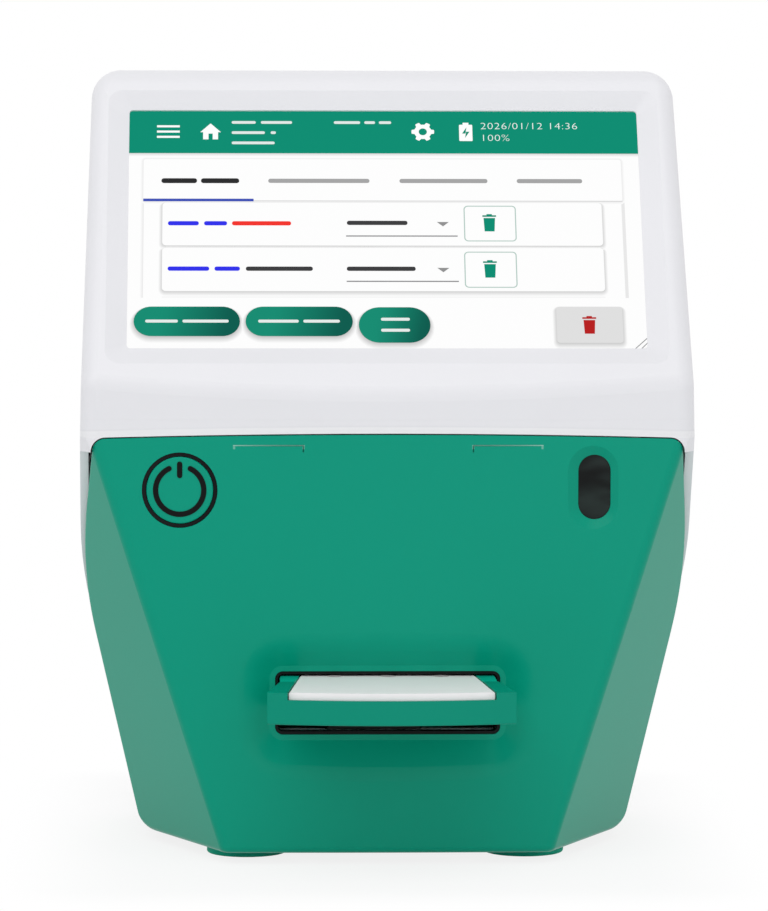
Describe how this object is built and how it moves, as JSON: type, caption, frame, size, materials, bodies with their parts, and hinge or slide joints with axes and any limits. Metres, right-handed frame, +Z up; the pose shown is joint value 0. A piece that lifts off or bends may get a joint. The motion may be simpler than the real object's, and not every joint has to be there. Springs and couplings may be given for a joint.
{
  "type": "rapid test reader",
  "caption": "Desktop test reader with a sloped touch screen, a pull-out cassette drawer, a power button and a code scanner window.",
  "frame": {"origin": "on the table, under the middle of the reader's overall box with the drawer as it stands", "axes": "+X to the right as the user sees it, +Y away from the user, +Z up"},
  "size_m": [0.1856, 0.2284, 0.238],
  "materials": {
    "shell_white": "satin white moulding",
    "cover_green": "satin green moulding",
    "button_green": "satin green moulding",
    "drawer_green": "satin green moulding",
    "liner_black": "charcoal moulding",
    "window_black": "dark glossy window",
    "screen_glass": "lit touch screen under glass",
    "cassette_white": "white cassette moulding",
    "strip_paper": "nitrocellulose strip",
    "rear_white": "fine-textured white moulding",
    "base_grey": "dark grey moulding",
    "foot_green": "green rubber",
    "steel": "zinc-plated steel",
    "screw_steel": "plated screws",
    "rail_black": "acetal",
    "hood_black": "black moulding",
    "board_green": "circuit board",
    "lens_black": "lens barrel",
    "heatsink": "anodised aluminium",
    "battery_wrap": "battery wrap",
    "display_metal": "display back",
    "socket_metal": "nickel-plated shell",
    "socket_black": "black moulding"
  },
  "bodies": {
    "housing": {"upper_housing": "shell_white", "front_cover": "cover_green", "slot_liner": "liner_black", "scanner_window": "window_black", "scanner_module": "hood_black", "scanner_bracket": "steel", "button_bezel": "liner_black", "power_switch": "rail_black", "switch_board": "board_green", "touch_glass": "screen_glass", "display_module": "display_metal", "display_frame": "steel", "rear_cover": "rear_white", "base_plate": "base_grey", "foot_front_left": "foot_green", "foot_front_right": "foot_green", "foot_rear_left": "foot_green", "foot_rear_right": "foot_green", "chassis": "steel", "rail_left": "rail_black", "rail_right": "rail_black", "optics_hood": "hood_black", "camera_board": "board_green", "camera_lens": "lens_black", "light_ring": "board_green", "stop_block": "rail_black", "drawer_switch": "rail_black", "battery_pack": "battery_wrap", "battery_strap": "steel", "main_board": "board_green", "heat_sink": "heatsink", "usb_port_left": "socket_metal", "usb_port_right": "socket_metal", "power_inlet": "socket_black", "base_screws": "screw_steel", "rear_cover_screws": "screw_steel", "board_screws": "screw_steel"},
    "drawer": {"drawer_tray": "drawer_green", "drawer_handle": "drawer_green", "cassette_base": "cassette_white", "cassette_top": "cassette_white", "test_strips": "strip_paper"},
    "power_button": {"power_cap": "button_green", "switch_plunger": "rail_black"}
  },
  "joints": [
    {"name": "drawer_slide", "type": "slide", "parent": "housing", "child": "drawer", "axis": [0, -1, 0], "range_m": [-0.013, 0.036]},
    {"name": "power_press", "type": "slide", "parent": "housing", "child": "power_button", "axis": [0, 1, 0], "range_m": [0, 0.0008], "stiffness_N_per_m": 1500}
  ]
}
